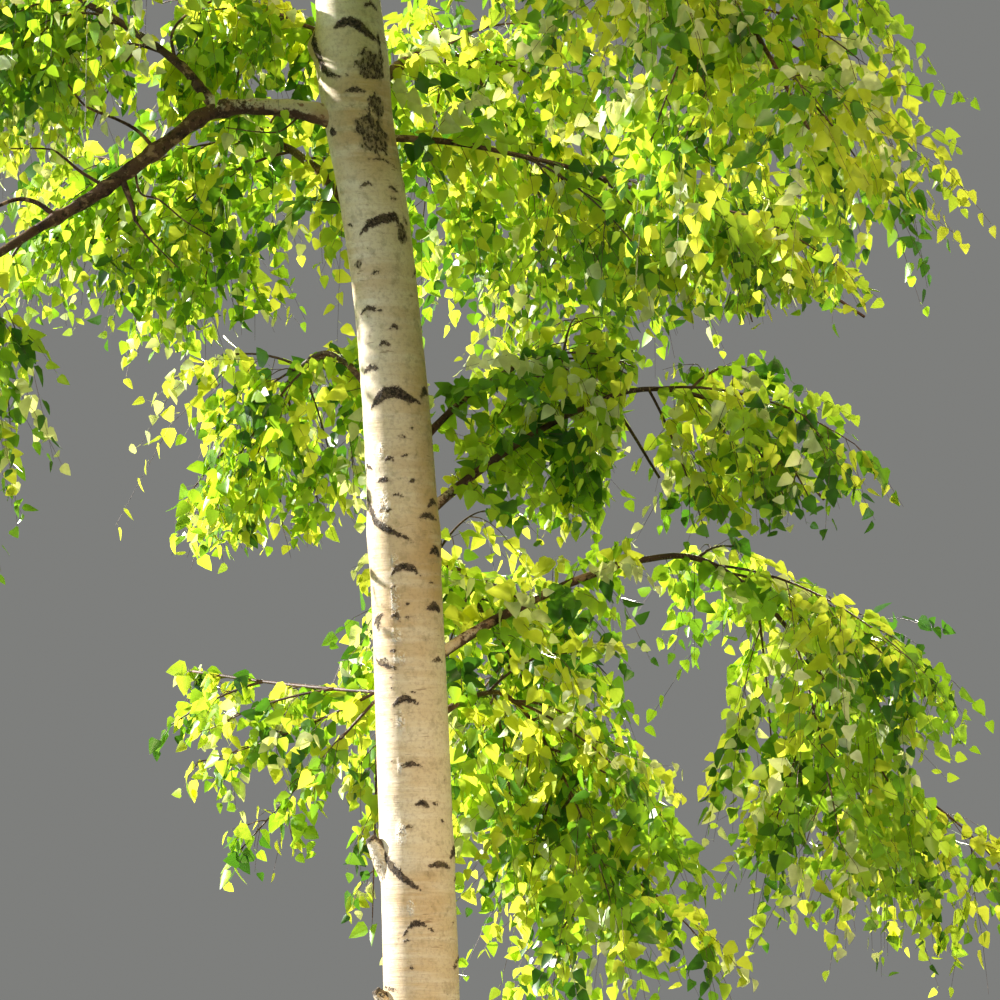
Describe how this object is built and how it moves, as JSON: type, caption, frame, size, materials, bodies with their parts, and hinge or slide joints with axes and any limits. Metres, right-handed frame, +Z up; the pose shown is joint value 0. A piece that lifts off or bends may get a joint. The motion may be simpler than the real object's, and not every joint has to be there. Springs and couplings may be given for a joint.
{
  "type": "white birch tree",
  "caption": "Tall slender white-barked birch with a leaning tapered trunk, flared foot, thin boughs and hanging sprays of green leaves.",
  "frame": {"origin": "middle of the flat cut under the trunk at ground level", "axes": "+Z up along the trunk, the picture looks along +Y, +X to the picture's right"},
  "size_m": [5.0134, 5.4411, 13.4737],
  "materials": {
    "bark_white": "matt papery white bark with dark brown scars and fine lenticels",
    "bark_brown": "rough brown bark, paler near the trunk",
    "foliage": "thin soft leaves with a slight gloss, in several greens"
  },
  "bodies": {
    "root": {"back_bough": "bark_brown", "back_leaves": "foliage", "back_left_bough": "bark_brown", "back_left_leaves": "foliage", "back_low_bough": "bark_brown", "back_low_leaves": "foliage", "back_right_bough": "bark_brown", "back_right_leaves": "foliage", "crown_bough_01": "bark_brown", "crown_bough_02": "bark_brown", "crown_bough_03": "bark_brown", "crown_bough_04": "bark_brown", "crown_bough_05": "bark_brown", "crown_bough_06": "bark_brown", "crown_bough_07": "bark_brown", "crown_bough_08": "bark_brown", "crown_bough_09": "bark_brown", "crown_bough_10": "bark_brown", "crown_bough_11": "bark_brown", "crown_bough_12": "bark_brown", "crown_bough_13": "bark_brown", "crown_leaves_01": "foliage", "crown_leaves_02": "foliage", "crown_leaves_03": "foliage", "crown_leaves_04": "foliage", "crown_leaves_05": "foliage", "crown_leaves_06": "foliage", "crown_leaves_07": "foliage", "crown_leaves_08": "foliage", "crown_leaves_09": "foliage", "crown_leaves_10": "foliage", "crown_leaves_11": "foliage", "crown_leaves_12": "foliage", "crown_leaves_13": "foliage", "dead_spur": "bark_brown", "front_left_bough": "bark_brown", "front_left_leaves": "foliage", "front_right_bough": "bark_brown", "front_right_leaves": "foliage", "high_left_leaves": "foliage", "leader_leaves": "foliage", "leader_side_leaves": "foliage", "left_bough": "bark_brown", "left_fork": "bark_brown", "left_fork_leaves": "foliage", "left_tip_leaves": "foliage", "low_left_leaves": "foliage", "lower_stump": "bark_white", "mid_left_bough": "bark_brown", "mid_left_leaves": "foliage", "right_high_bough": "bark_brown", "right_high_leaves": "foliage", "right_low_bough": "bark_brown", "right_low_leaves": "foliage", "right_mid_bough": "bark_brown", "right_mid_leaves": "foliage", "right_out_bough": "bark_brown", "right_out_leaves": "foliage", "trunk": "bark_white", "upper_stump": "bark_white"}
  },
  "joints": []
}
